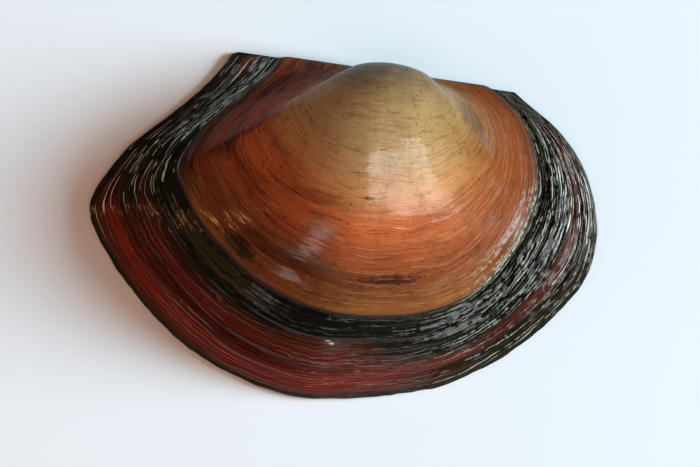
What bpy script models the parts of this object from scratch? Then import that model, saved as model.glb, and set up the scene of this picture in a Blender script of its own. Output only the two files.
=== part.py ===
"""One valve of a large freshwater mussel shell, lying hollow side down on its margin.

The outer skin is one growth surface. Every growth line is a smaller copy of the margin, lifted and
swung back toward the beak, so the valve swells between the margin and the umbo. The skin is one open
sheet that Solidify thickens inward. The ledges rise on its outer side only, since the inside of such a
valve is smooth, and a box levels the edge that the valve rests on.
Metres, +X along the hinge toward the front end, +Y toward the hinge, +Z up.
"""

import math

import bmesh
import bpy
import numpy as np
from mathutils import Vector

VALVE = "right_valve"
RELIEF = "relief"
BODY = "full_wall"

# Margin seen from above, in millimetres from the beak, from the front hinge corner round to the wing tip.
MARGIN_MM = [
    (38.0, 0.0),
    (42.6, -3.0),
    (51.0, -8.2),
    (60.9, -17.4),
    (67.6, -29.5),
    (70.7, -43.0),
    (68.6, -55.6),
    (60.4, -69.0),
    (48.9, -81.2),
    (34.1, -92.4),
    (17.6, -99.4),
    (0.7, -103.4),
    (-15.5, -105.6),
    (-32.0, -103.2),
    (-48.3, -97.2),
    (-63.4, -87.9),
    (-76.6, -75.9),
    (-86.3, -63.8),
    (-89.8, -55.6),
    (-86.6, -44.8),
    (-80.0, -34.2),
    (-70.6, -24.6),
    (-62.6, -16.0),
    (-55.6, -7.0),
    (-53.2, -2.6),
    (-51.9, -0.7),
    (-50.2, 0.0),
]
HINGE_TO_VENTRAL = 0.1057
EDGE_HEIGHT = 0.0014
SKIRT_BOTTOM = -0.002
WALL = 0.0018
EDGE_WALL = 0.0010
WALL_FULL_INSIDE = 0.14

# How older growth lines swing up and back as the valve grew.
SWING_PER_LOG_STAGE = math.radians(48.5)
MOST_SWING = math.radians(103.5)
SWING_SOFTNESS = 8.0
OLD_GROWTH_SWELL = 0.3

# The flanks bulge over a plain scaled copy of the margin, and the umbo is creased along the dorsal wings.
UMBO_FROM, UMBO_TO = 0.12, 0.5
UMBO_FULLNESS = 0.8
FLANK_FULLNESS = 0.84
WING_LEVEL = 0.5
BACK_CREASE, FRONT_CREASE = 0.24, 0.36
CREASE_BLEND = 0.02

# The hinge edge of the older shell stands out past that of the last growth, which leaves a notch at each end.
HINGE_STEP = 0.0008
STEP_STARTS, STEP_FULL = 0.1, 0.3
STEP_ENDS, STEP_GONE = 0.66, 0.75
STEP_REACH = 0.05

# Stage of the strongest growth ring by its place round the margin: the rows that carry its ledge follow it.
RING_ROW = 0.70
RING = [
    (0.0, 0.776),
    (0.012, 0.798),
    (0.026, 0.798),
    (0.052, 0.772),
    (0.076, 0.744),
    (0.10, 0.718),
    (0.137, 0.698),
    (0.189, 0.684),
    (0.225, 0.694),
    (0.26, 0.713),
    (0.305, 0.728),
    (0.36, 0.722),
    (0.44, 0.712),
    (0.50, 0.699),
    (0.57, 0.692),
    (0.65, 0.691),
    (0.73, 0.693),
    (0.79, 0.697),
    (0.83, 0.709),
    (0.867, 0.723),
    (0.905, 0.733),
    (0.94, 0.733),
    (0.967, 0.725),
    (1.0, 0.714),
]
RING_PULLS_FROM = 0.35

# Growth stages of the rows: 0 is the beak and 1 is the margin, closer together across the ledges.
STAGES = [
    0.055, 0.085, 0.12, 0.16, 0.21, 0.26, 0.32, 0.38, 0.44, 0.50, 0.56, 0.61, 0.64, 0.665,
    0.69, 0.706, 0.722, 0.745, 0.768, 0.785, 0.805, 0.83, 0.855, 0.88, 0.90, 0.925, 0.955, 1.0,
]
COLUMNS = 72

# Relief across the growth lines: stage and height in millimetres above the smooth skin.
RELIEF_MM = [
    (0.0, 0.0),
    (0.44, 0.0),
    (0.50, 0.12),
    (0.56, 0.0),
    (0.61, 0.15),
    (0.64, -0.10),
    (0.665, 0.45),
    (0.69, 0.55),
    (0.706, -0.45),
    (0.722, -0.75),
    (0.745, -0.15),
    (0.768, 0.35),
    (0.785, -0.25),
    (0.805, 0.25),
    (0.83, -0.10),
    (0.855, 0.20),
    (0.88, -0.15),
    (0.90, 0.25),
    (0.925, -0.10),
    (0.955, 0.15),
    (1.0, 0.0),
]
RELIEF_FADES_OVER = 0.5
SHARPEST_SMOOTH_EDGE = math.radians(35.0)

# Working values: how finely curves are sampled, how near two points are one, and the levelling box.
SAMPLES_PER_POINT = 40
RING_SAMPLES = 400
SAME_POINT = 1e-5
LEVEL_BOX_SIDE = 0.4
LEVEL_BOX_DEPTH = 0.02


def clear_scene():
    for thing in list(bpy.data.objects):
        bpy.data.objects.remove(thing, do_unlink=True)


def collection(name):
    made = bpy.data.collections.new(name)
    bpy.context.scene.collection.children.link(made)
    return made


def rise(value, low, high):
    """0 below low and 1 above high, with a smooth step between."""
    share = np.clip((value - low) / (high - low), 0.0, 1.0)
    return share * share * (3.0 - 2.0 * share)


def evenly_along(points, count):
    """Points evenly spaced along a natural cubic spline through the given ones."""
    points = np.array(points)
    steps = np.linalg.norm(np.diff(points, axis=0), axis=1)
    knots = np.concatenate([[0.0], np.cumsum(steps)])
    slopes = np.diff(points, axis=0) / steps[:, None]
    matrix = np.diag(2.0 * (steps[:-1] + steps[1:]))
    matrix += np.diag(steps[1:-1], 1) + np.diag(steps[1:-1], -1)
    bend = np.zeros_like(points)
    bend[1:-1] = np.linalg.solve(matrix, 6.0 * np.diff(slopes, axis=0))
    at = np.linspace(0.0, knots[-1], SAMPLES_PER_POINT * count)
    left = np.clip(np.searchsorted(knots, at, side="right") - 1, 0, len(steps) - 1)
    step = steps[left][:, None]
    after = (at[:, None] - knots[left][:, None]) / step
    before = 1.0 - after
    fine = before * points[left] + after * points[left + 1]
    fine += ((before**3 - before) * bend[left] + (after**3 - after) * bend[left + 1]) * step**2 / 6.0
    length = np.concatenate([[0.0], np.cumsum(np.linalg.norm(np.diff(fine, axis=0), axis=1))])
    wanted = np.linspace(0.0, length[-1], count)
    return np.stack([np.interp(wanted, length, fine[:, axis]) for axis in (0, 1)], axis=1)


def swing_at(stage):
    """Angle of a growth line about the hinge line, which levels off at MOST_SWING toward the beak."""
    free = SWING_SOFTNESS * SWING_PER_LOG_STAGE * math.log(stage)
    capped = math.exp(-SWING_SOFTNESS * MOST_SWING)
    return (math.log(1.0 + capped) - math.log(math.exp(free) + capped)) / SWING_SOFTNESS


def ring_pull(row, place):
    """How far the growth line of a row is pulled from its own stage, to run along with the strongest ring."""
    curve = evenly_along(RING, RING_SAMPLES)
    near = rise(row, RING_PULLS_FROM, RING_ROW) * (1.0 - rise(row, RING_ROW, 1.0))
    return near * (np.interp(place, curve[:, 0], curve[:, 1]) - RING_ROW)


def skin_point(row, stage, across, reach):
    """A point of the smooth outer skin, from its row, its growth stage and its place on the margin."""
    swing = swing_at(stage)
    grown = stage * (1.0 + OLD_GROWTH_SWELL * (1.0 - stage))
    crease = BACK_CREASE + (FRONT_CREASE - BACK_CREASE) * rise(across, -CREASE_BLEND, CREASE_BLEND)
    arch = reach**UMBO_FULLNESS * (WING_LEVEL + (1.0 - WING_LEVEL) * rise(reach, 0.0, crease))
    umbo = 1.0 - rise(stage, UMBO_FROM, UMBO_TO)
    share = float(reach + (arch - reach) * umbo)
    step = HINGE_STEP * rise(row, STEP_STARTS, STEP_FULL) * (1.0 - rise(row, STEP_ENDS, STEP_GONE))
    back = step * (1.0 - rise(reach, 0.0, STEP_REACH)) - HINGE_TO_VENTRAL * grown * share * math.cos(swing)
    up = HINGE_TO_VENTRAL * grown * share**FLANK_FULLNESS * math.sin(swing)
    return Vector((stage * across, back, EDGE_HEIGHT + up))


def make_skin():
    """The smooth outer skin as an open sheet: a grid bent into the growth surface, gathered at the beak."""
    margin = evenly_along(MARGIN_MM, COLUMNS) / 1000.0
    stages = [0.0] + STAGES
    places = np.linspace(0.0, 1.0, COLUMNS)
    pulls = [ring_pull(stage, places) for stage in stages]
    sheet = bmesh.new()
    bmesh.ops.create_grid(sheet, x_segments=COLUMNS - 1, y_segments=len(stages) - 1, size=0.5)
    relief = sheet.verts.layers.float.new(RELIEF)
    body = sheet.verts.layers.float.new(BODY)
    sheet.verts.ensure_lookup_table()
    for index, vertex in enumerate(sheet.verts):
        row, column = divmod(index, COLUMNS)
        across, down = margin[column]
        reach = max(-down, 0.0) / HINGE_TO_VENTRAL
        stage = stages[row]
        grown = stage + pulls[row][column]
        vertex.co = skin_point(stage, grown, across, reach) if stage else Vector((0.0, 0.0, EDGE_HEIGHT))
        ledge = np.interp(stage, *zip(*RELIEF_MM)) / 1000.0
        vertex[relief] = float(ledge * rise(reach, 0.0, RELIEF_FADES_OVER))
        vertex[body] = float(rise(min(reach, 1.0 - stage), 0.0, WALL_FULL_INSIDE))
    bmesh.ops.remove_doubles(sheet, verts=sheet.verts, dist=SAME_POINT)
    return sheet


def add_skirt(sheet):
    """Carries the edge of the sheet straight down, past the level that the valve rests on."""
    edges = [edge for edge in sheet.edges if edge.is_boundary]
    made = bmesh.ops.extrude_edge_only(sheet, edges=edges)
    relief = sheet.verts.layers.float[RELIEF]
    for part in made["geom"]:
        if isinstance(part, bmesh.types.BMVert):
            part.co.z = SKIRT_BOTTOM
            part[relief] = 0.0
    bmesh.ops.recalc_face_normals(sheet, faces=sheet.faces)
    if sum(face.normal.z * face.calc_area() for face in sheet.faces) < 0.0:
        bmesh.ops.reverse_faces(sheet, faces=sheet.faces)


def centre_over_origin(sheet):
    low = Vector(min(vertex.co[axis] for vertex in sheet.verts) for axis in range(3))
    high = Vector(max(vertex.co[axis] for vertex in sheet.verts) for axis in range(3))
    middle = (low + high) / 2.0
    bmesh.ops.translate(sheet, verts=sheet.verts, vec=(-middle.x, -middle.y, 0.0))


def periostracum():
    made = bpy.data.materials.new("shell")
    made.use_nodes = True
    shader = made.node_tree.nodes["Principled BSDF"]
    shader.inputs["Base Color"].default_value = (0.30, 0.12, 0.05, 1.0)
    shader.inputs["Roughness"].default_value = 0.38
    shader.inputs["Metallic"].default_value = 0.0
    return made


def levelling_box(home):
    """Takes away all that lies below the level the valve rests on."""
    bpy.ops.mesh.primitive_cube_add(size=1.0)
    box = bpy.context.object
    box.name = "level_cutter"
    box.scale = (LEVEL_BOX_SIDE, LEVEL_BOX_SIDE, LEVEL_BOX_DEPTH)
    box.location = (0.0, 0.0, -LEVEL_BOX_DEPTH / 2.0)
    for old in box.users_collection:
        old.objects.unlink(box)
    home.objects.link(box)
    box.hide_render = True
    box.display_type = "WIRE"
    return box


def thickened(valve):
    """Thickens the smooth sheet inward, thinner toward the edge, and raises the ledges on its outer side."""
    outer = [vertex.normal.copy() for vertex in valve.data.vertices]
    group = valve.vertex_groups.new(name=BODY)
    for index, share in enumerate(valve.data.attributes[BODY].data):
        group.add([index], share.value, "REPLACE")
    thicken = valve.modifiers.new("wall", "SOLIDIFY")
    thicken.thickness = WALL
    thicken.offset = -1.0
    thicken.use_even_offset = True
    thicken.use_quality_normals = True
    thicken.vertex_group = BODY
    thicken.thickness_vertex_group = EDGE_WALL / WALL
    bpy.context.view_layer.objects.active = valve
    bpy.ops.object.modifier_apply(modifier=thicken.name)
    relief = valve.data.attributes[RELIEF].data
    for index, normal in enumerate(outer):
        valve.data.vertices[index].co += relief[index].value * normal


def make_valve(home, cutters):
    sheet = make_skin()
    add_skirt(sheet)
    centre_over_origin(sheet)
    mesh = bpy.data.meshes.new(VALVE)
    sheet.to_mesh(mesh)
    sheet.free()
    valve = bpy.data.objects.new(VALVE, mesh)
    home.objects.link(valve)
    mesh.materials.append(periostracum())
    thickened(valve)
    level = valve.modifiers.new("level", "BOOLEAN")
    level.operation = "DIFFERENCE"
    level.solver = "EXACT"
    level.object = levelling_box(cutters)
    mesh.shade_smooth()
    mesh.set_sharp_from_angle(angle=SHARPEST_SMOOTH_EDGE)
    return valve


clear_scene()
make_valve(collection("sinanodonta_valve"), collection("cutters"))
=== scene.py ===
"""Looks of the mussel valve: a ridged skin, a pearly inside and white paper under soft window light.

Place runs from 0 at the front hinge corner, along the margin, to 1 at the wing tip. Stage runs from 0 at the
beak to 1 at the margin.
"""

import math

import bmesh
import bpy
import numpy as np
from mathutils import Matrix, Vector


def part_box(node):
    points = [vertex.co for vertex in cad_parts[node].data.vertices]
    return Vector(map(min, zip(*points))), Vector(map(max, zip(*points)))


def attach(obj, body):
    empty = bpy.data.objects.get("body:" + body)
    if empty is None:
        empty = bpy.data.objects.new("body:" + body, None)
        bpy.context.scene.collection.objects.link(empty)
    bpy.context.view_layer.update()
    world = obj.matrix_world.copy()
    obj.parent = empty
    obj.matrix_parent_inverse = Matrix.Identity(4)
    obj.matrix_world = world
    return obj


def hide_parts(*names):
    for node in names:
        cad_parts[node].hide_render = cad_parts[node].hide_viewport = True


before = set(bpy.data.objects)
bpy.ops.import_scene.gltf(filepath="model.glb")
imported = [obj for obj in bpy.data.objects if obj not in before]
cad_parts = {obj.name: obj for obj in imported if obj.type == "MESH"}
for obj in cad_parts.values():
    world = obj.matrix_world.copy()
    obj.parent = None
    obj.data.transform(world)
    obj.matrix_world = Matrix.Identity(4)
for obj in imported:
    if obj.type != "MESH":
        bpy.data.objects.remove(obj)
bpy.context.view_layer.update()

# Margin seen from above, in millimetres from the beak, from the front hinge corner round to the wing tip.
MARGIN_MM = [
    (38.0, 0.0),
    (42.6, -3.0),
    (51.0, -8.2),
    (60.9, -17.4),
    (67.6, -29.5),
    (70.7, -43.0),
    (68.6, -55.6),
    (60.4, -69.0),
    (48.9, -81.2),
    (34.1, -92.4),
    (17.6, -99.4),
    (0.7, -103.4),
    (-15.5, -105.6),
    (-32.0, -103.2),
    (-48.3, -97.2),
    (-63.4, -87.9),
    (-76.6, -75.9),
    (-86.3, -63.8),
    (-89.8, -55.6),
    (-86.6, -44.8),
    (-80.0, -34.2),
    (-70.6, -24.6),
    (-62.6, -16.0),
    (-55.6, -7.0),
    (-53.2, -2.6),
    (-51.9, -0.7),
    (-50.2, 0.0),
]
HINGE_TO_VENTRAL = 0.1057
EDGE_HEIGHT = 0.0014
WALL = 0.0018
EDGE_WALL = 0.0010
WALL_FULL_INSIDE = 0.14

# How older growth lines swing up and back as the valve grew.
SWING_PER_LOG_STAGE = math.radians(48.5)
MOST_SWING = math.radians(103.5)
SWING_SOFTNESS = 8.0
OLD_GROWTH_SWELL = 0.3

# The flanks bulge over a plain scaled copy of the margin, and the umbo is creased along the dorsal wings.
UMBO_FROM, UMBO_TO = 0.12, 0.5
UMBO_FULLNESS = 0.8
FLANK_FULLNESS = 0.84
WING_LEVEL = 0.5
BACK_CREASE, FRONT_CREASE = 0.24, 0.36
CREASE_BLEND = 0.02

# The hinge edge of the older shell stands out past the last growth, which leaves a notch at each end.
HINGE_STEP = 0.0008
STEP_STARTS, STEP_FULL = 0.1, 0.3
STEP_ENDS, STEP_GONE = 0.66, 0.75
STEP_REACH = 0.05

# Stage of the strongest growth ring by its place round the margin: the rows that carry its ledge follow it.
RING_ROW = 0.70
RING = [
    (0.0, 0.776),
    (0.012, 0.798),
    (0.026, 0.798),
    (0.052, 0.772),
    (0.076, 0.744),
    (0.10, 0.718),
    (0.137, 0.698),
    (0.189, 0.684),
    (0.225, 0.694),
    (0.26, 0.713),
    (0.305, 0.728),
    (0.36, 0.722),
    (0.44, 0.712),
    (0.50, 0.699),
    (0.57, 0.692),
    (0.65, 0.691),
    (0.73, 0.693),
    (0.79, 0.697),
    (0.83, 0.709),
    (0.867, 0.723),
    (0.905, 0.733),
    (0.94, 0.733),
    (0.967, 0.725),
    (1.0, 0.714),
]
RING_PULLS_FROM = 0.35

# The ledges across the growth lines: stage and height in millimetres above the smooth skin.
LEDGES_MM = [
    (0.0, 0.0),
    (0.44, 0.0),
    (0.50, 0.12),
    (0.56, 0.0),
    (0.61, 0.15),
    (0.64, -0.10),
    (0.665, 0.40),
    (0.690, 0.55),
    (0.700, 0.25),
    (0.708, -0.35),
    (0.718, -0.65),
    (0.735, -0.35),
    (0.752, 0.10),
    (0.768, 0.40),
    (0.776, 0.05),
    (0.785, -0.30),
    (0.800, 0.10),
    (0.812, 0.28),
    (0.825, -0.10),
    (0.855, 0.20),
    (0.88, -0.15),
    (0.90, 0.25),
    (0.925, -0.10),
    (0.955, 0.15),
    (0.98, 0.0),
    (1.0, 0.0),
]

# The ledges are lower along the left side: the share lost, and the places where the loss starts and ends.
LEFT_LEDGE_LOSS = 0.5
LEFT_STARTS = (0.58, 0.68)
LEFT_ENDS = (0.80, 0.88)

# Random waves: cycles along the growth lines, cycles across them, seed, and height. The lines wander by so
# many stages. The ridges, sharp or round, and the ragged edge are in millimetres.
WANDER = [(9, 5, 1, 0.006), (30, 9, 2, 0.0025)]
RIDGES_MM = [(7, 38, 3, 0.10), (12, 85, 4, 0.14), (22, 170, 5, 0.10)]
BACK_RIDGES_MM = [(26, 120, 7, 0.12)]
RAGGED_EDGE_MM = [(70, 1, 8, 0.22), (150, 1, 9, 0.132)]
SHARP_WAVES = (16, 60, 6)
SHARP_RIDGE_MM = 0.16
SHARPNESS = 0.7
WANDER_FADES_WITHIN = 0.05
DOME_ROUGHNESS = 0.25
ROUGH_OUTSIDE = (0.66, 0.74)
BACK_SLOPE = (0.74, 0.84)

# Where the relief is calm: near the hinge line, by the reach below it, near the beak and at the very edge.
CALM_AT_HINGE = 0.25
LIVELY_REACH = 0.5
HINGE_FADE = 0.06
BEAK_FADE = (0.03, 0.2)
EDGE_FADE = 0.02
RAGGED_STAGES = (0.94, 1.0)
RAGGED_REACH = 0.1

# The growth stages of the fine rows, closest where the ledges are, and the sizes of both sheets.
STAGE_ROWS = np.concatenate([np.linspace(0.008, 0.6, 112, endpoint=False), np.linspace(0.6, 1.0, 205)])
FINE_COLUMNS = 258
INNER_ROWS, INNER_COLUMNS = 56, 130

# The lining's first stage, its lowest level, and its own beak, where its rows meet. The lip's section is
# given as millimetres inward and up.
LINING_STARTS = 0.05
LOWEST_LINING = 0.0002
LINING_BEAK = (0.0, -0.0012, 0.0009)
BEAK_PLACE = 0.5
LIP_MM = [(0.0, 0.9), (0.05, 0.4), (0.22, 0.08), (0.5, 0.0), (0.78, 0.08), (1.0, 0.5), (1.15, 1.0)]
SKIN_SLOT, NACRE_SLOT = 0, 1

# Working values: how finely curves are sampled, how near two points are one, and what keeps a division safe.
SAMPLES_PER_POINT = 40
RING_SAMPLES = 400
SAME_POINT = 1e-7
TINY = 1e-15

# The picture's level line runs along the hinge line turned by this angle.
HINGE_TILT = math.atan2(41.0, 280.0)
PICTURE_WIDTH = 0.2222
PICTURE_CENTRE = (0.0027, -0.0003)
CAMERA_HEIGHT = 0.85
SENSOR_WIDTH = 36.0
NEAREST_SEEN = 0.01


def rise(value, low, high):
    """0 below low and 1 above high, with a smooth step between."""
    share = np.clip((value - low) / (high - low), 0.0, 1.0)
    return share * share * (3.0 - 2.0 * share)


def evenly_along(points, count):
    """Points evenly spaced along a natural cubic spline through the given ones."""
    points = np.array(points)
    steps = np.linalg.norm(np.diff(points, axis=0), axis=1)
    knots = np.concatenate([[0.0], np.cumsum(steps)])
    slopes = np.diff(points, axis=0) / steps[:, None]
    matrix = np.diag(2.0 * (steps[:-1] + steps[1:]))
    matrix += np.diag(steps[1:-1], 1) + np.diag(steps[1:-1], -1)
    bend = np.zeros_like(points)
    bend[1:-1] = np.linalg.solve(matrix, 6.0 * np.diff(slopes, axis=0))
    at = np.linspace(0.0, knots[-1], SAMPLES_PER_POINT * count)
    left = np.clip(np.searchsorted(knots, at, side="right") - 1, 0, len(steps) - 1)
    step = steps[left][:, None]
    after = (at[:, None] - knots[left][:, None]) / step
    before = 1.0 - after
    fine = before * points[left] + after * points[left + 1]
    fine += ((before**3 - before) * bend[left] + (after**3 - after) * bend[left + 1]) * step**2 / 6.0
    length = np.concatenate([[0.0], np.cumsum(np.linalg.norm(np.diff(fine, axis=0), axis=1))])
    wanted = np.linspace(0.0, length[-1], count)
    return np.stack([np.interp(wanted, length, fine[:, axis]) for axis in (0, 1)], axis=1)


def reach_of(margin):
    """How far each margin point lies below the hinge line, as a share of the valve's height."""
    return np.clip(-margin[None, :, 1], 0.0, None) / HINGE_TO_VENTRAL


def smooth_skin(rows, margin):
    """Points of the smooth outer skin: a row for each growth stage and a column for each margin point."""
    row = np.asarray(rows)[:, None]
    curve = evenly_along(RING, RING_SAMPLES)
    ring = np.interp(np.linspace(0.0, 1.0, len(margin)), curve[:, 0], curve[:, 1])
    near = rise(row, RING_PULLS_FROM, RING_ROW) * (1.0 - rise(row, RING_ROW, 1.0))
    stage = row + near * (ring - RING_ROW)
    across = margin[None, :, 0]
    reach = reach_of(margin)
    capped = math.exp(-SWING_SOFTNESS * MOST_SWING)
    free = stage ** (SWING_SOFTNESS * SWING_PER_LOG_STAGE)
    swing = (math.log(1.0 + capped) - np.log(free + capped)) / SWING_SOFTNESS
    grown = stage * (1.0 + OLD_GROWTH_SWELL * (1.0 - stage))
    crease = BACK_CREASE + (FRONT_CREASE - BACK_CREASE) * rise(across, -CREASE_BLEND, CREASE_BLEND)
    arch = reach**UMBO_FULLNESS * (WING_LEVEL + (1.0 - WING_LEVEL) * rise(reach, 0.0, crease))
    umbo = 1.0 - rise(stage, UMBO_FROM, UMBO_TO)
    share = reach + (arch - reach) * umbo
    step = HINGE_STEP * rise(row, STEP_STARTS, STEP_FULL) * (1.0 - rise(row, STEP_ENDS, STEP_GONE))
    back = step * (1.0 - rise(reach, 0.0, STEP_REACH)) - HINGE_TO_VENTRAL * grown * share * np.cos(swing)
    up = HINGE_TO_VENTRAL * grown * share**FLANK_FULLNESS * np.sin(swing)
    return np.stack(np.broadcast_arrays(stage * across, back, EDGE_HEIGHT + up), axis=2)


def outward(points):
    """Unit normals of a grid of points, pointing out of the dome."""
    normal = np.cross(np.gradient(points, axis=0), np.gradient(points, axis=1))
    normal /= np.linalg.norm(normal, axis=2, keepdims=True) + TINY
    return normal * np.sign(normal[..., 2].sum())


def waves(place, stage, cycles_along, cycles_across, seed):
    """Smooth random heights from -1 to 1, with so many cycles over the whole place and the whole stage."""
    u, v = place * cycles_along, stage * cycles_across
    shape = (int(cycles_along) + 3, int(cycles_across) + 3)
    knots = np.random.RandomState(seed).uniform(-1.0, 1.0, shape)
    i, j = np.floor(u).astype(int), np.floor(v).astype(int)
    a, b = u - i, v - j
    a, b = a * a * (3.0 - 2.0 * a), b * b * (3.0 - 2.0 * b)
    low = knots[i, j] * (1.0 - a) + knots[i + 1, j] * a
    high = knots[i, j + 1] * (1.0 - a) + knots[i + 1, j + 1] * a
    return low * (1.0 - b) + high * b


def wave_sum(place, stage, table):
    """The sum of the random waves that a table lists."""
    return sum(height * waves(place, stage, *settings) for *settings, height in table)


def ridges(stage, place):
    """The stage as the growth lines wander, and the height of their ridges over the smooth skin."""
    drift = wave_sum(place, stage, WANDER) * rise(1.0 - stage, 0.0, WANDER_FADES_WITHIN)
    at = np.clip(stage + drift, 0.0, 1.0)
    left = rise(place, *LEFT_STARTS) * (1.0 - rise(place, *LEFT_ENDS))
    ledge = np.interp(at, *zip(*LEDGES_MM)) * (1.0 - LEFT_LEDGE_LOSS * left)
    rough = DOME_ROUGHNESS + (1.0 - DOME_ROUGHNESS) * rise(at, *ROUGH_OUTSIDE)
    sharp = 1.0 - np.abs(waves(place, at, *SHARP_WAVES)) ** SHARPNESS
    height = ledge + rough * (wave_sum(place, at, RIDGES_MM) + SHARP_RIDGE_MM * sharp)
    height += rise(place, *BACK_SLOPE) * rough * wave_sum(place, at, BACK_RIDGES_MM)
    return at, height / 1000.0


def outer_sheet():
    """Points of the ridged outer skin, with the place and the stage of each."""
    margin = evenly_along(MARGIN_MM, FINE_COLUMNS) / 1000.0
    place, stage = np.meshgrid(np.linspace(0.0, 1.0, FINE_COLUMNS), STAGE_ROWS)
    points = smooth_skin(STAGE_ROWS, margin)
    reach = reach_of(margin)
    calm = CALM_AT_HINGE + (1.0 - CALM_AT_HINGE) * rise(reach, 0.0, LIVELY_REACH)
    calm = calm * rise(reach, 0.0, HINGE_FADE)
    calm = calm * rise(stage, *BEAK_FADE) * rise(1.0 - stage, 0.0, EDGE_FADE)
    drifted, height = ridges(stage, place)
    points = points + (height * calm)[..., None] * outward(points)
    ragged = wave_sum(place, 0.0 * stage, RAGGED_EDGE_MM) / 1000.0
    ragged = ragged * rise(stage, *RAGGED_STAGES) * rise(reach, 0.0, RAGGED_REACH)
    from_beak = points[..., :2] / (np.linalg.norm(points[..., :2], axis=2, keepdims=True) + TINY)
    points[..., :2] += ragged[..., None] * from_beak
    return points, place, drifted


def inner_sheet():
    """Points of the smooth lining, with the place and the stage of each."""
    margin = evenly_along(MARGIN_MM, INNER_COLUMNS) / 1000.0
    rows = np.linspace(LINING_STARTS, 1.0, INNER_ROWS)
    place, stage = np.meshgrid(np.linspace(0.0, 1.0, INNER_COLUMNS), rows)
    smooth = smooth_skin(rows, margin)
    body = rise(np.minimum(reach_of(margin), 1.0 - stage), 0.0, WALL_FULL_INSIDE)
    wall = EDGE_WALL + (WALL - EDGE_WALL) * body
    points = smooth - wall[..., None] * outward(smooth)
    points[..., 2] = np.maximum(points[..., 2], LOWEST_LINING)
    return points, place, stage


def rim_rings(points, beak):
    """Rings that carry the edge of the outer sheet round the lip and under it."""
    edge = np.concatenate([points[::-1, 0], [beak], points[:, -1], points[-1, -2:0:-1]])
    edge[:, 2] = EDGE_HEIGHT
    ahead = np.roll(edge, -1, axis=0) - np.roll(edge, 1, axis=0)
    inward = np.stack([-ahead[:, 1], ahead[:, 0], 0.0 * ahead[:, 0]], axis=1)
    inward /= np.linalg.norm(inward, axis=1, keepdims=True) + TINY
    middle = edge.mean(axis=0) * [1.0, 1.0, 0.0]
    if ((middle - edge) * inward).sum() < 0.0:
        inward = -inward
    rings = [edge]
    for inset, height in LIP_MM:
        ring = edge + inward * inset / 1000.0
        ring[:, 2] = height / 1000.0
        rings.append(ring)
    return rings


def grid_faces(rows, columns, first, flip):
    """Quads of a grid of vertices that starts at the given index."""
    row, column = np.meshgrid(np.arange(rows - 1), np.arange(columns - 1), indexing="ij")
    corner = (first + row * columns + column).ravel()
    quads = np.stack([corner, corner + 1, corner + 1 + columns, corner + columns], axis=1)
    return quads[:, ::-1] if flip else quads


def fan_faces(columns, first, apex, flip):
    """Triangles between a row of vertices and the one vertex where they meet."""
    here = first + np.arange(columns - 1)
    fan = np.stack([here, np.full(columns - 1, apex), here + 1], axis=1)
    return fan[:, ::-1] if flip else fan


def ring_faces(first, size):
    """Quads between a closed ring of vertices and the next one."""
    here = first + np.arange(size)
    after = first + (np.arange(size) + 1) % size
    return np.stack([here, after, after + size, here + size], axis=1)


class Sheets:
    """The mesh as it is gathered: its points, the place and stage of each, and its faces."""

    def __init__(self):
        self.points = []
        self.growth = []
        self.faces = []
        self.slots = []
        self.count = 0

    def add_points(self, points, place, stage):
        """Takes the points, and gives the index of the first of them."""
        first = self.count
        self.points.append(np.reshape(points, (-1, 3)))
        self.growth.append(np.stack([np.ravel(place), np.ravel(stage)], axis=1))
        self.count += len(self.points[-1])
        return first

    def add_faces(self, faces, slot):
        self.faces += faces.tolist()
        self.slots += [slot] * len(faces)

    def make_mesh(self, name, shift, materials):
        mesh = bpy.data.meshes.new(name)
        mesh.from_pydata((np.concatenate(self.points) + shift).tolist(), [], self.faces)
        for material in materials:
            mesh.materials.append(material)
        mesh.polygons.foreach_set("material_index", self.slots)
        layer = mesh.uv_layers.new(name="growth")
        corner = np.zeros(len(mesh.loops), np.int32)
        mesh.loops.foreach_get("vertex_index", corner)
        layer.data.foreach_set("uv", np.concatenate(self.growth)[corner].ravel())
        mesh.validate()
        welded = bmesh.new()
        welded.from_mesh(mesh)
        bmesh.ops.remove_doubles(welded, verts=welded.verts, dist=SAME_POINT)
        welded.to_mesh(mesh)
        welded.free()
        mesh.shade_smooth()
        return mesh


def onto_solid(margin):
    """The shift that lays the margin on that of the solid."""
    low = Vector(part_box("right_valve")[0])
    high = Vector(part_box("right_valve")[1])
    aside = (low.x + high.x - margin[:, 0].min() - margin[:, 0].max()) / 2.0
    return np.array([aside, low.y - margin[:, 1].min(), 0.0])


def build_valve(skin, nacre):
    """The whole valve: the ridged outer skin with its lip, and the smooth lining inside."""
    points, place, stage = outer_sheet()
    rows, columns = place.shape
    beak = np.array([0.0, 0.0, EDGE_HEIGHT])
    rings = rim_rings(points, beak)
    size = len(rings[0])
    ring_place = np.concatenate([np.zeros(rows), [BEAK_PLACE], np.ones(rows), place[-1, -2:0:-1]])

    sheets = Sheets()
    outer_first = sheets.add_points(points, place, stage)
    inner_first = sheets.add_points(*inner_sheet())
    beak_index = sheets.add_points([beak, LINING_BEAK], [BEAK_PLACE, BEAK_PLACE], [0.0, 0.0])
    rim_first = sheets.add_points(rings, np.tile(ring_place, len(rings)), np.ones(size * len(rings)))
    sheets.add_faces(grid_faces(rows, columns, outer_first, False), SKIN_SLOT)
    sheets.add_faces(fan_faces(columns, outer_first, beak_index, False), SKIN_SLOT)
    sheets.add_faces(grid_faces(INNER_ROWS, INNER_COLUMNS, inner_first, True), NACRE_SLOT)
    sheets.add_faces(fan_faces(INNER_COLUMNS, inner_first, beak_index + 1, True), NACRE_SLOT)
    for index in range(len(rings) - 1):
        sheets.add_faces(ring_faces(rim_first + index * size, size), SKIN_SLOT)

    mesh = sheets.make_mesh("right_valve_looks", onto_solid(points[-1]), (skin, nacre))
    valve = bpy.data.objects.new("right_valve_looks", mesh)
    bpy.context.scene.collection.objects.link(valve)
    return valve


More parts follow.
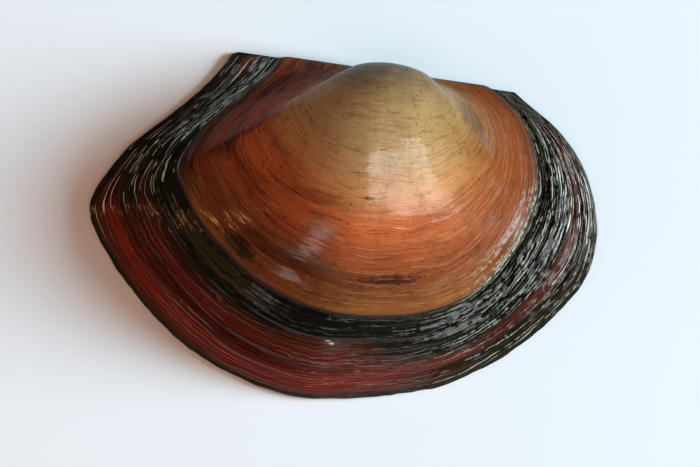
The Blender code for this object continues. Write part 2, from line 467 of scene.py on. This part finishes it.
def linear(red, green, blue):
    """A colour given as it looks on a screen, from 0 to 255, as a shader takes it."""
    shares = [channel / 255.0 for channel in (red, green, blue)]
    return tuple(s / 12.92 if s <= 0.04045 else ((s + 0.055) / 1.055) ** 2.4 for s in shares) + (1.0,)


class Paint:
    """A node material, written as calls that each return an output socket."""

    def __init__(self, name):
        self.material = bpy.data.materials.new(name)
        self.material.use_nodes = True
        self.tree = self.material.node_tree
        self.shader = self.tree.nodes["Principled BSDF"]

    def add(self, kind, **settings):
        node = self.tree.nodes.new(kind)
        for name, value in settings.items():
            setattr(node, name, value)
        return node

    def give(self, socket, value):
        if isinstance(value, bpy.types.NodeSocket):
            self.tree.links.new(value, socket)
        else:
            socket.default_value = value

    def growth(self):
        """The place and the stage of each point, as two sockets."""
        uv = self.add("ShaderNodeUVMap", uv_map="growth")
        split = self.add("ShaderNodeSeparateXYZ")
        self.give(split.inputs[0], uv.outputs[0])
        return split.outputs[0], split.outputs[1]

    def compute(self, operation, first, second=0.0, third=0.0):
        node = self.add("ShaderNodeMath", operation=operation)
        for socket, value in zip(node.inputs, (first, second, third)):
            self.give(socket, value)
        return node.outputs[0]

    def times(self, *values):
        """The product of all values."""
        product = values[0]
        for value in values[1:]:
            product = self.compute("MULTIPLY", product, value)
        return product

    def times_plus(self, value, factor, more):
        return self.compute("MULTIPLY_ADD", value, factor, more)

    def minus(self, value, less):
        return self.compute("SUBTRACT", value, less)

    def step(self, value, low, high, to_low=0.0, to_high=1.0):
        """A smooth step from one value below low to another above high."""
        node = self.add("ShaderNodeMapRange", interpolation_type="SMOOTHSTEP")
        names = ("Value", "From Min", "From Max", "To Min", "To Max")
        for name, given in zip(names, (value, low, high, to_low, to_high)):
            self.give(node.inputs[name], given)
        return node.outputs["Result"]

    def between(self, value, starts, full, fades, gone, most=1.0):
        """0 outside starts and gone, and the most between full and fades."""
        return self.times(self.step(value, starts, full), self.step(value, fades, gone, most, 0.0))

    def noise(self, x, y, z, detail, roughness=0.5, distortion=0.0):
        joined = self.add("ShaderNodeCombineXYZ")
        for socket, value in zip(joined.inputs, (x, y, z)):
            self.give(socket, value)
        node = self.add("ShaderNodeTexNoise")
        self.give(node.inputs["Vector"], joined.outputs[0])
        names = ("Scale", "Detail", "Roughness", "Distortion")
        for name, value in zip(names, (1.0, detail, roughness, distortion)):
            self.give(node.inputs[name], value)
        return node.outputs["Fac"]

    def distance(self, place, stage, middle, half_size):
        """The square of the distance from the middle of a spot, which is 1 at its edge."""
        sideways = self.times(self.minus(place, middle[0]), 1.0 / half_size[0])
        upward = self.times(self.minus(stage, middle[1]), 1.0 / half_size[1])
        return self.times_plus(upward, upward, self.times(sideways, sideways))

    def ramp(self, value, stops):
        node = self.add("ShaderNodeValToRGB")
        self.give(node.inputs[0], value)
        elements = node.color_ramp.elements
        while len(elements) < len(stops):
            elements.new(0.5)
        for element, (at, colour) in zip(elements, stops):
            element.position = at
        for element, (at, colour) in zip(elements, stops):
            element.color = linear(*colour)
        return node.outputs["Color"]

    def mix(self, share, first, second):
        node = self.add("ShaderNodeMix", data_type="RGBA")
        self.give(node.inputs[0], share)
        self.give(node.inputs[6], first)
        self.give(node.inputs[7], second)
        return node.outputs[2]

    def bump(self, height, strength, distance):
        node = self.add("ShaderNodeBump")
        node.inputs["Strength"].default_value = strength
        node.inputs["Distance"].default_value = distance
        self.give(node.inputs["Height"], height)
        self.give(self.shader.inputs["Normal"], node.outputs[0])


# Colours by stage, along the lower side, at the front and on the back slope.
VENTRAL_STOPS = [
    (0.00, (68, 52, 38)),
    (0.10, (82, 62, 42)),
    (0.17, (120, 90, 58)),
    (0.25, (172, 130, 84)),
    (0.36, (184, 136, 88)),
    (0.43, (200, 130, 78)),
    (0.49, (204, 100, 52)),
    (0.56, (162, 78, 42)),
    (0.61, (128, 64, 35)),
    (0.645, (128, 68, 34)),
    (0.67, (140, 80, 36)),
    (0.694, (140, 80, 34)),
    (0.700, (60, 42, 20)),
    (0.705, (17, 19, 13)),
    (0.765, (16, 17, 13)),
    (0.785, (40, 29, 20)),
    (0.81, (96, 43, 25)),
    (0.84, (112, 37, 21)),
    (0.88, (96, 33, 23)),
    (0.915, (138, 44, 26)),
    (0.966, (124, 42, 25)),
    (0.980, (78, 54, 33)),
    (0.990, (30, 26, 17)),
    (1.00, (70, 60, 40)),
]
FRONT_STOPS = [
    (0.00, (92, 76, 54)),
    (0.15, (120, 90, 54)),
    (0.30, (146, 106, 58)),
    (0.40, (132, 78, 36)),
    (0.52, (132, 64, 28)),
    (0.64, (126, 58, 28)),
    (0.680, (110, 60, 38)),
    (0.705, (40, 38, 28)),
    (0.76, (18, 19, 14)),
    (0.85, (24, 21, 16)),
    (0.89, (110, 52, 40)),
    (0.93, (44, 30, 22)),
    (0.96, (52, 38, 26)),
    (1.00, (50, 44, 30)),
]
BACK_STOPS = [
    (0.00, (92, 74, 52)),
    (0.20, (142, 92, 42)),
    (0.38, (158, 84, 30)),
    (0.46, (178, 68, 20)),
    (0.56, (150, 58, 18)),
    (0.64, (138, 48, 16)),
    (0.69, (46, 30, 16)),
    (0.72, (27, 42, 24)),
    (0.86, (29, 42, 24)),
    (0.93, (42, 40, 24)),
    (1.00, (38, 33, 22)),
]

# Stains, worn spots, painted shade and painted reflections: place and stage, half lengths along and across
# the growth lines, strength, colour.
MARKS = [
    ((0.662, 0.668), (0.030, 0.022), 0.85, (30, 32, 22)),
    ((0.565, 0.600), (0.060, 0.030), 0.40, (84, 76, 60)),
    ((0.431, 0.607), (0.050, 0.014), 0.75, (40, 18, 14)),
    ((0.370, 0.822), (0.110, 0.050), 0.75, (24, 22, 17)),
    ((0.375, 0.900), (0.060, 0.022), 0.60, (126, 54, 38)),
    ((0.330, 0.500), (0.090, 0.060), 0.40, (120, 66, 40)),
    ((0.660, 0.735), (0.100, 0.035), 0.70, (64, 62, 42)),
    ((0.485, 0.433), (0.014, 0.004), 0.70, (44, 20, 14)),
    # Painted reflection: a pale grey sheen on the lower dome.
    ((0.559, 0.514), (0.034, 0.030), 0.28, (156, 136, 116)),
    # Painted reflection: a grey spot on the right of the dome.
    ((0.169, 0.438), (0.020, 0.030), 0.30, (104, 92, 90)),
    # Painted shade along the front crease of the umbo.
    ((0.150, 0.350), (0.050, 0.080), 0.60, (86, 58, 36)),
    ((0.500, 0.784), (0.055, 0.014), 0.60, (98, 52, 26)),
    ((0.501, 0.781), (0.004, 0.004), 0.95, (200, 184, 166)),
    ((0.496, 0.788), (0.003, 0.005), 0.95, (200, 184, 166)),
    ((0.985, 0.860), (0.040, 0.060), 0.70, (104, 44, 26)),
    ((0.087, 0.927), (0.030, 0.030), 0.60, (104, 40, 34)),
    ((0.960, 0.520), (0.050, 0.060), 0.60, (104, 46, 26)),
    ((0.900, 0.620), (0.060, 0.050), 0.45, (116, 44, 22)),
    ((0.990, 0.400), (0.030, 0.200), 0.60, (44, 38, 26)),
    ((0.840, 0.640), (0.050, 0.030), 0.60, (36, 28, 16)),
    ((0.797, 0.480), (0.010, 0.160), 0.55, (40, 24, 14)),
    ((0.600, 0.640), (0.150, 0.050), 0.20, (66, 34, 22)),
]

# Noise of the skin: cycles along the growth lines, cycles across them, seed, detail, roughness, distortion.
SLANT = 0.09
BROAD = (6.0, 6.0, 3.5)
BANDS = (8.0, 34.0, 7.5, 3.0)
LINES = (16.0, 170.0, 1.5, 1.0)
GRAINS = (150.0, 130.0, 5.5, 1.0, 0.5, 0.4)
SPECKS = (130.0, 90.0, 9.5)
DIRT = (34.0, 30.0, 6.5, 4.0, 0.65)
RAYS = (70.0, 5.0, 4.5)

# Layers of skin on the lower side, at both sides and on the dome: how many lie between beak and margin, how
# far they wander and crinkle, and the seed. Their tones have cycles along the growth lines and a seed.
LOW_LAYERS = (92.0, 5.0, 1.2, 11.5)
SIDE_LAYERS = (88.0, 5.0, 0.7, 21.5)
FINE_LAYERS = (190.0, 5.0, 0.5, 16.5)
LAYER_WANDER = (9.0, 14.0)
LAYER_CRINKLE = (80.0, 26.0)
LAYER_APART = 5.13
LOW_TONE, LOW_BREAKS = (5.0, 12.5), (70.0, 14.5)
SIDE_TONE, SHORT_BREAKS, LONG_BREAKS = (5.0, 22.5), (110.0, 23.5), (48.0, 24.5)
FINE_TONE, FINE_BREAKS = (7.0, 17.5), (60.0, 18.5)

# Colours of what runs along the growth lines: a dark for stains and painted shade, and pale colours for
# painted highlights, glints and reflections.
DARK = (20, 15, 10)
SILK_HIGHLIGHT = (226, 182, 134)
FRONT_GLINT = (184, 180, 158)
BACK_GLINT = (236, 236, 218)
LOW_REFLECTION = (118, 108, 92)
CREAM_GLINT = (188, 172, 146)
SKIN_SPECULAR = 0.15
SKIN_BUMP = 0.0006


class Skin(Paint):
    """The horny skin: colour zones between the growth rings, with painted glints along the edges of its thin
    layers and painted shade at their feet.
    """

    def __init__(self):
        super().__init__("horny_skin")
        self.place, self.stage = self.growth()
        self.bands = self.streaks(*BANDS)
        self.lines = self.streaks(*LINES)
        self.grains = self.streaks(*GRAINS)
        self.specks = self.streaks(*SPECKS)
        self.low_edge, low_number = self.layers(*LOW_LAYERS)
        self.low_tone = self.tones(low_number, *LOW_TONE)
        self.low_breaks = self.tones(low_number, *LOW_BREAKS)
        self.side_edge, side_number = self.layers(*SIDE_LAYERS)
        self.side_tone = self.tones(side_number, *SIDE_TONE)
        self.short_breaks = self.tones(side_number, *SHORT_BREAKS)
        self.long_breaks = self.tones(side_number, *LONG_BREAKS)
        self.fine_edge, fine_number = self.layers(*FINE_LAYERS)
        self.fine_tone = self.tones(fine_number, *FINE_TONE)
        self.fine_breaks = self.tones(fine_number, *FINE_BREAKS)
        self.front = self.step(self.place, 0.28, 0.44, 1.0, 0.0)
        self.back = self.step(self.place, 0.74, 0.82)
        self.sides = self.compute("MAXIMUM", self.front, self.back)
        self.low_side = self.minus(1.0, self.sides)
        self.left = self.step(self.place, 0.52, 0.70)
        self.outer = self.step(self.stage, 0.68, 0.71)
        self.inner = self.step(self.stage, 0.67, 0.71, 1.0, 0.0)

        colour = self.zones()
        for add_more in (self.marked, self.stained, self.finely_lined):
            colour = add_more(colour)
        for add_more in (self.grooved, self.glints_painted, self.cream_glints_painted):
            colour = add_more(colour)
        self.give(self.shader.inputs["Base Color"], colour)
        self.give(self.shader.inputs["Roughness"], self.roughness())
        self.shader.inputs["Specular IOR Level"].default_value = SKIN_SPECULAR
        self.bump(self.relief(), 1.0, SKIN_BUMP)

    def streaks(self, cycles_along, cycles_across, seed, detail=2.0, roughness=0.5, distortion=0.0):
        """Noise drawn out along the growth lines, and slanted so that its grid never lines up with them."""
        slant = self.times(self.stage, SLANT * cycles_across)
        long_way = self.times_plus(self.place, cycles_along, slant)
        short_way = self.times(self.stage, cycles_across)
        return self.noise(long_way, short_way, seed, detail, roughness, distortion)

    def layers(self, cycles, wander, crinkle, seed):
        """Overlapping layers of skin: the share of its layer that lies behind a point, and its number."""
        drift = self.times(self.streaks(*LAYER_WANDER, seed), wander)
        drift = self.times_plus(self.streaks(*LAYER_CRINKLE, seed + 1.0, 1.0), crinkle, drift)
        phase = self.times_plus(self.stage, cycles, drift)
        return self.compute("FRACT", phase), self.compute("FLOOR", phase)

    def tones(self, number, cycles_along, seed):
        """A random tone for each layer, which also changes along it."""
        return self.noise(self.times(self.place, cycles_along), self.times(number, LAYER_APART), seed, 1.0)

    def darker(self, share, colour):
        return self.mix(share, colour, linear(*DARK))

    def zones(self):
        """The colours between the growth rings, with borders that follow the bands and the layers."""
        warped = self.times_plus(self.bands, 0.014, self.minus(self.stage, 0.007))
        early = self.between(self.stage, 0.20, 0.32, 0.42, 0.60, 0.04)
        early = self.times(self.step(self.place, 0.50, 0.68), early)
        warped = self.compute("ADD", warped, early)
        loose_place = self.times_plus(self.streaks(*BROAD), 0.10, self.minus(self.place, 0.05))
        colour = self.mix(
            self.step(self.times_plus(self.outer, -0.12, loose_place), 0.20, 0.38),
            self.ramp(warped, FRONT_STOPS),
            self.ramp(warped, VENTRAL_STOPS),
        )
        behind = self.minus(loose_place, self.step(self.stage, 0.24, 0.46, 0.07, 0.0))
        behind = self.times_plus(self.minus(self.side_tone, 0.5), self.times(self.outer, 0.16), behind)
        return self.mix(self.step(behind, 0.755, 0.815), colour, self.ramp(warped, BACK_STOPS))

    def marked(self, colour):
        """Adds the stains, worn spots, painted shade and painted reflections, with ragged edges."""
        ragged = self.times_plus(self.bands, 1.8, self.times_plus(self.specks, 2.4, -2.1))
        for middle, half_size, strength, tint in MARKS:
            away = self.distance(self.place, self.stage, middle, half_size)
            inside = self.step(self.compute("ADD", away, ragged), 0.2, 1.2, strength, 0.0)
            colour = self.mix(inside, colour, linear(*tint))
        return colour

    def stained(self, colour):
        """Adds dark bands, smoky lines near the beak, dirt, faint rays and specks."""
        stain = self.times(self.step(self.bands, 0.46, 0.66), self.step(self.place, 0.44, 0.6))
        colour = self.darker(self.times(stain, self.step(self.stage, 0.36, 0.50), 0.50), colour)
        smoky = self.times(self.step(self.bands, 0.46, 0.60), self.step(self.stage, 0.12, 0.28, 0.35, 0.0))
        colour = self.darker(smoky, colour)
        dirty = self.step(self.streaks(*DIRT), self.step(self.back, 0.0, 1.0, 0.52, 0.46), 0.66)
        colour = self.darker(self.times(dirty, self.times_plus(self.back, 0.62, 0.18)), colour)
        colour = self.darker(self.step(self.streaks(*RAYS), 0.55, 0.75, 0.0, 0.16), colour)
        return self.darker(self.step(self.specks, 0.64, 0.70, 0.0, 0.40), colour)

    def finely_lined(self, colour):
        """Adds a painted silky highlight on the crests and painted shade in the furrows of the fine layers
        on the dome, the shade deeper on the left, and painted shade over the left of the dome.
        """
        # Painted highlight along the crests of the fine layers.
        pale = self.mix(0.14, colour, linear(*SILK_HIGHLIGHT))
        grown_up = self.step(self.stage, 0.20, 0.45, 0.3, 1.0)
        crest_highlight = self.times(self.step(self.fine_tone, 0.48, 0.60), self.step(self.fine_edge, 0.25, 0.60))
        crest_highlight = self.times(crest_highlight, self.inner, grown_up, self.step(self.fine_breaks, 0.35, 0.60))
        colour = self.mix(crest_highlight, colour, pale)
        # Painted shade in the furrows at the foot of each fine layer, deeper on the left.
        furrow_shade = self.times(self.step(self.fine_tone, 0.36, 0.50, 1.0, 0.15), self.inner, grown_up)
        furrow_shade = self.times(furrow_shade, self.step(self.fine_breaks, 0.38, 0.54, 0.2, 1.0))
        furrow_shade = self.times(furrow_shade, self.step(self.fine_edge, 0.15, 0.55, 1.0, 0.0))
        colour = self.darker(self.times(furrow_shade, self.times_plus(self.left, 0.45, 0.50)), colour)
        colour = self.darker(self.times(self.step(self.lines, 0.30, 0.46, 0.22, 0.0), self.inner), colour)
        # Painted shade over the left side of the dome.
        return self.darker(self.times(self.left, self.inner, 0.10), colour)

    def grooved(self, colour):
        """Darkens the outer zone at the front, and paints shade at the foot of each layer in it."""
        colour = self.darker(self.times(self.step(self.place, 0.34, 0.50, 0.35, 0.0), self.outer), colour)
        # Painted shade at the foot of each outer layer.
        low_groove_shade = self.times(self.step(self.low_edge, 0.05, 0.40, 0.85, 0.0), self.low_side)
        side_groove_shade = self.times(self.step(self.side_edge, 0.10, 0.50, 0.85, 0.0), self.sides)
        return self.darker(self.times(self.compute("ADD", low_groove_shade, side_groove_shade), self.outer), colour)

    def glints_painted(self, colour):
        """Adds painted glints along the crests of the outer layers, in short runs, and faint painted
        reflections along the crests on the lower side.
        """
        on_skin = self.step(self.stage, 0.975, 0.99, 1.0, 0.0)
        # Painted glints along the crests of the layers at the front.
        upper_tone = self.compute("ADD", self.side_tone, self.step(self.place, 0.10, 0.24, 0.12, -0.02))
        front = self.times(self.step(self.short_breaks, 0.38, 0.56), self.step(upper_tone, 0.40, 0.56))
        front_crest = self.between(self.side_edge, 0.52, 0.66, 0.86, 0.96)
        front = self.times(front, self.front, self.outer, front_crest)
        front = self.times(front, self.step(self.stage, 0.72, 0.79, 0.50, 1.0), on_skin)
        front = self.times(front, self.step(self.place, 0.14, 0.26, 0.98, 0.85))
        colour = self.mix(front, colour, linear(*FRONT_GLINT))
        # Painted glints along the crests of the layers on the back slope.
        wing_tone = self.minus(self.side_tone, self.step(self.place, 0.88, 0.96, 0.0, 0.10))
        back = self.times(self.step(self.long_breaks, 0.47, 0.53), self.step(wing_tone, 0.44, 0.50))
        back = self.times(back, self.back, self.outer, self.between(self.side_edge, 0.62, 0.74, 0.84, 0.94))
        colour = self.mix(self.times(back, on_skin, 0.95), colour, linear(*BACK_GLINT))
        # Painted reflections: faint pale lines along the crests of the lower layers.
        low = self.step(self.low_breaks, 0.36, 0.56, 0.3, 1.0)
        low = self.times(self.step(self.low_tone, 0.52, 0.64), low)
        low = self.times(low, self.low_side, self.outer, self.between(self.low_edge, 0.46, 0.72, 0.86, 1.0))
        low = self.times(low, self.step(self.stage, 0.74, 0.79, 0.18, 0.36))
        return self.mix(low, colour, linear(*LOW_REFLECTION))

    def cream_glints_painted(self, colour):
        """Adds painted cream glints, broken into grains, just inside the strongest ring at the front."""
        # Painted glints: cream grains just inside the strongest ring.
        cream = self.times(self.step(self.grains, 0.49, 0.55), self.step(self.fine_tone, 0.40, 0.56))
        cream = self.times(cream, self.between(self.stage, 0.615, 0.690, 0.700, 0.715))
        cream = self.times(cream, self.between(self.place, 0.14, 0.20, 0.27, 0.34, 0.70))
        return self.mix(cream, colour, linear(*CREAM_GLINT))

    def roughness(self):
        """Glossy, but rougher near the beak, on the back slope and on the strongest ring."""
        matt = self.times(self.step(self.place, 0.785, 0.82), self.step(self.stage, 0.66, 0.71, 0.36, 0.04))
        matt = self.compute("ADD", matt, self.step(self.stage, 0.10, 0.30, 0.25, 0.0))
        matt = self.compute("MAXIMUM", matt, self.between(self.stage, 0.680, 0.692, 0.700, 0.712, 0.38))
        return self.compute("ADD", self.step(self.outer, 0.0, 1.0, 0.13, 0.12), matt)

    def relief(self):
        """The height of the layers, which each rise to an edge, and of the fine lines and grains."""
        low = self.times(self.low_edge, self.times_plus(self.low_breaks, 1.3, -0.2), self.low_side)
        low = self.times(low, self.step(self.place, 0.44, 0.56, 0.55, 0.28))
        tilt = self.times(self.back, self.step(self.place, 0.84, 0.91, 0.6, 1.8))
        tilt = self.times_plus(self.front, self.step(self.place, 0.12, 0.20, 1.0, 1.8), tilt)
        high = self.times(self.side_edge, self.times_plus(self.long_breaks, 1.6, -0.3), tilt)
        fine = self.times(self.fine_edge, self.minus(self.fine_breaks, 0.1))
        height = self.times(self.compute("ADD", low, high), self.outer)
        height = self.times_plus(fine, self.step(self.inner, 0.0, 1.0, 0.0, 0.14), height)
        line_height = self.times_plus(self.outer, self.times(self.low_side, 0.24), 0.06)
        height = self.times_plus(self.lines, line_height, height)
        return self.times_plus(self.grains, self.times(self.sides, self.outer, 0.10), height)


# Where the muscles held the lining: place and stage, half lengths along and across the growth lines.
MUSCLE_SCARS = [
    ((0.085, 0.76), (0.045, 0.075)),
    ((0.895, 0.74), (0.042, 0.080)),
    ((0.045, 0.62), (0.020, 0.035)),
]
PEARL_STOPS = [
    (0.32, (190, 198, 210)),
    (0.46, (222, 214, 208)),
    (0.58, (226, 206, 200)),
    (0.70, (188, 208, 198)),
]
PEARL_LINE = (238, 232, 226)
SCAR = (178, 166, 150)
MUSCLE_LINE = (170, 160, 148)
DULL_BORDER = (150, 142, 122)
NACRE_BUMP = 0.0004


class Nacre(Paint):
    """The pearly lining: a faint play of colour, muscle scars, and a duller border past the muscle line."""

    def __init__(self):
        super().__init__("nacre")
        self.place, self.stage = self.growth()
        clouds, lines = self.cloud(4.0, 9.0, 2.0), self.cloud(5.0, 60.0, 4.5)
        pearl = self.ramp(clouds, PEARL_STOPS)
        colour = self.mix(self.step(lines, 0.45, 0.65, 0.0, 0.25), pearl, linear(*PEARL_LINE))
        ragged = self.times_plus(lines, 0.5, -0.25)
        for middle, half_size in MUSCLE_SCARS:
            away = self.distance(self.place, self.stage, middle, half_size)
            inside = self.step(self.compute("ADD", away, ragged), 0.75, 1.0, 0.40, 0.0)
            colour = self.mix(inside, colour, linear(*SCAR))
        muscle_line = self.between(self.stage, 0.845, 0.855, 0.862, 0.875, 0.35)
        colour = self.mix(muscle_line, colour, linear(*MUSCLE_LINE))
        border = self.step(self.times_plus(clouds, 0.04, self.stage), 0.90, 0.99)
        self.give(self.shader.inputs["Base Color"], self.mix(border, colour, linear(*DULL_BORDER)))
        self.give(self.shader.inputs["Roughness"], self.step(self.stage, 0.85, 0.97, 0.20, 0.38))
        self.shader.inputs["Coat Weight"].default_value = 0.4
        self.shader.inputs["Coat Roughness"].default_value = 0.1
        self.bump(lines, 0.5, NACRE_BUMP)

    def cloud(self, cycles_along, cycles_across, seed):
        along, across = self.times(self.place, cycles_along), self.times(self.stage, cycles_across)
        return self.noise(along, across, seed, 3.0)


PAPER_SIZE = 6.0
PAPER_COLOUR = (0.90, 0.905, 0.92, 1.0)


def paper():
    bpy.ops.mesh.primitive_plane_add(size=PAPER_SIZE)
    floor = bpy.context.object
    floor.name = "paper"
    paint = Paint("paper")
    paint.shader.inputs["Base Color"].default_value = PAPER_COLOUR
    paint.shader.inputs["Roughness"].default_value = 0.9
    paint.shader.inputs["Specular IOR Level"].default_value = 0.1
    floor.data.materials.append(paint.material)


# Colours of the lights and of the room.
DAYLIGHT = (0.64, 0.88, 1.0)
GLASS = (0.90, 0.97, 1.0)
WARM = (1.0, 0.56, 0.38)
FLAME = (1.0, 0.42, 0.12)
ROOM = (1.0, 0.9, 0.8, 1.0)
ROOM_STRENGTH = 0.06

# Each light: name, direction in the picture, distance, width, height and power in watts.
LOW_WINDOW = ("low_window", (0.92, 0.03, 0.30), 3.5, 1.5, 1.05, 350.0)
HIGH_PANE = ("high_pane", (0.47, 0.19, 0.86), 0.9, 0.27, 0.27, 3.6)
HIGH_PANE_OFFSETS = [(-0.15, -0.155), (-0.15, 0.155), (0.15, -0.155), (0.15, 0.155)]
OTHER_PANES = [
    ("side_pane", (0.90, -0.10, 0.44), 1.0, 0.9, 0.08, 1.2),
    ("crescent_pane", (0.79, -0.12, 0.60), 1.0, 0.16, 0.12, 0.16),
    ("front_pane", (0.10, -0.90, 0.41), 1.0, 0.40, 0.04, 1.1),
    ("grey_pane", (-0.37, -0.29, 0.88), 1.0, 0.12, 0.22, 0.62),
]
CEILING = ("ceiling", (0.1, -0.6, 1.0), 1.2, 1.5, 1.5, 4.7)
LAMP = ("lamp", (-0.8, -0.2, 0.45), 1.0, 0.8, 0.8, 2.6)
BULB = ("bulb", (-0.74, -0.01, 0.67), 1.0, 0.05, 0.05, 0.40)


def in_picture(right, up, toward):
    """A direction given as the picture sees it, as a vector in the row frame."""
    cosine, sine = math.cos(HINGE_TILT), math.sin(HINGE_TILT)
    return Vector((right * cosine - up * sine, right * sine + up * cosine, toward))


def area_light(name, direction, distance, width, height, power, colour, offset=(0.0, 0.0)):
    """A rectangular light that faces the shell from that direction, shifted sideways and up in its plane."""
    light = bpy.data.lights.new(name, "AREA")
    light.shape = "RECTANGLE"
    light.size, light.size_y = width, height
    light.energy = power
    light.color = colour
    made = bpy.data.objects.new(name, light)
    aim = in_picture(*direction).normalized()
    turn = aim.to_track_quat("Z", "Y").to_matrix().to_4x4()
    made.matrix_world = Matrix.Translation(aim * distance) @ turn @ Matrix.Translation((*offset, 0.0))
    bpy.context.scene.collection.objects.link(made)
    return made


def lit(settings, colour):
    """A light that falls on things, and isn't seen as a reflection."""
    area_light(*settings, colour).visible_glossy = False


def reflected(settings, colour, offset=(0.0, 0.0)):
    """A light that is only seen as a reflection in the glossy skin."""
    area_light(*settings, colour, offset).visible_diffuse = False


def lights():
    """A low window at the right casts the shadow, panes show as reflections, and the room is dim."""
    lit(LOW_WINDOW, DAYLIGHT)
    for offset in HIGH_PANE_OFFSETS:
        reflected(HIGH_PANE, GLASS, offset)
    for pane in OTHER_PANES:
        reflected(pane, GLASS)
    lit(CEILING, WARM)
    lit(LAMP, WARM)
    reflected(BULB, FLAME)
    world = bpy.data.worlds.new("room")
    bpy.context.scene.world = world
    world.use_nodes = True
    background = world.node_tree.nodes["Background"]
    background.inputs["Color"].default_value = ROOM
    background.inputs["Strength"].default_value = ROOM_STRENGTH
    bpy.context.scene.view_settings.view_transform = "Standard"


def camera():
    data = bpy.data.cameras.new("camera")
    data.sensor_width = SENSOR_WIDTH
    data.lens = SENSOR_WIDTH * CAMERA_HEIGHT / PICTURE_WIDTH
    data.clip_start = NEAREST_SEEN
    made = bpy.data.objects.new("camera", data)
    above = Matrix.Translation((*PICTURE_CENTRE, CAMERA_HEIGHT))
    made.matrix_world = above @ Matrix.Rotation(HINGE_TILT, 4, "Z")
    bpy.context.scene.collection.objects.link(made)
    bpy.context.scene.camera = made


valve = build_valve(Skin().material, Nacre().material)
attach(valve, "root")
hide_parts("right_valve")
paper()
lights()
camera()
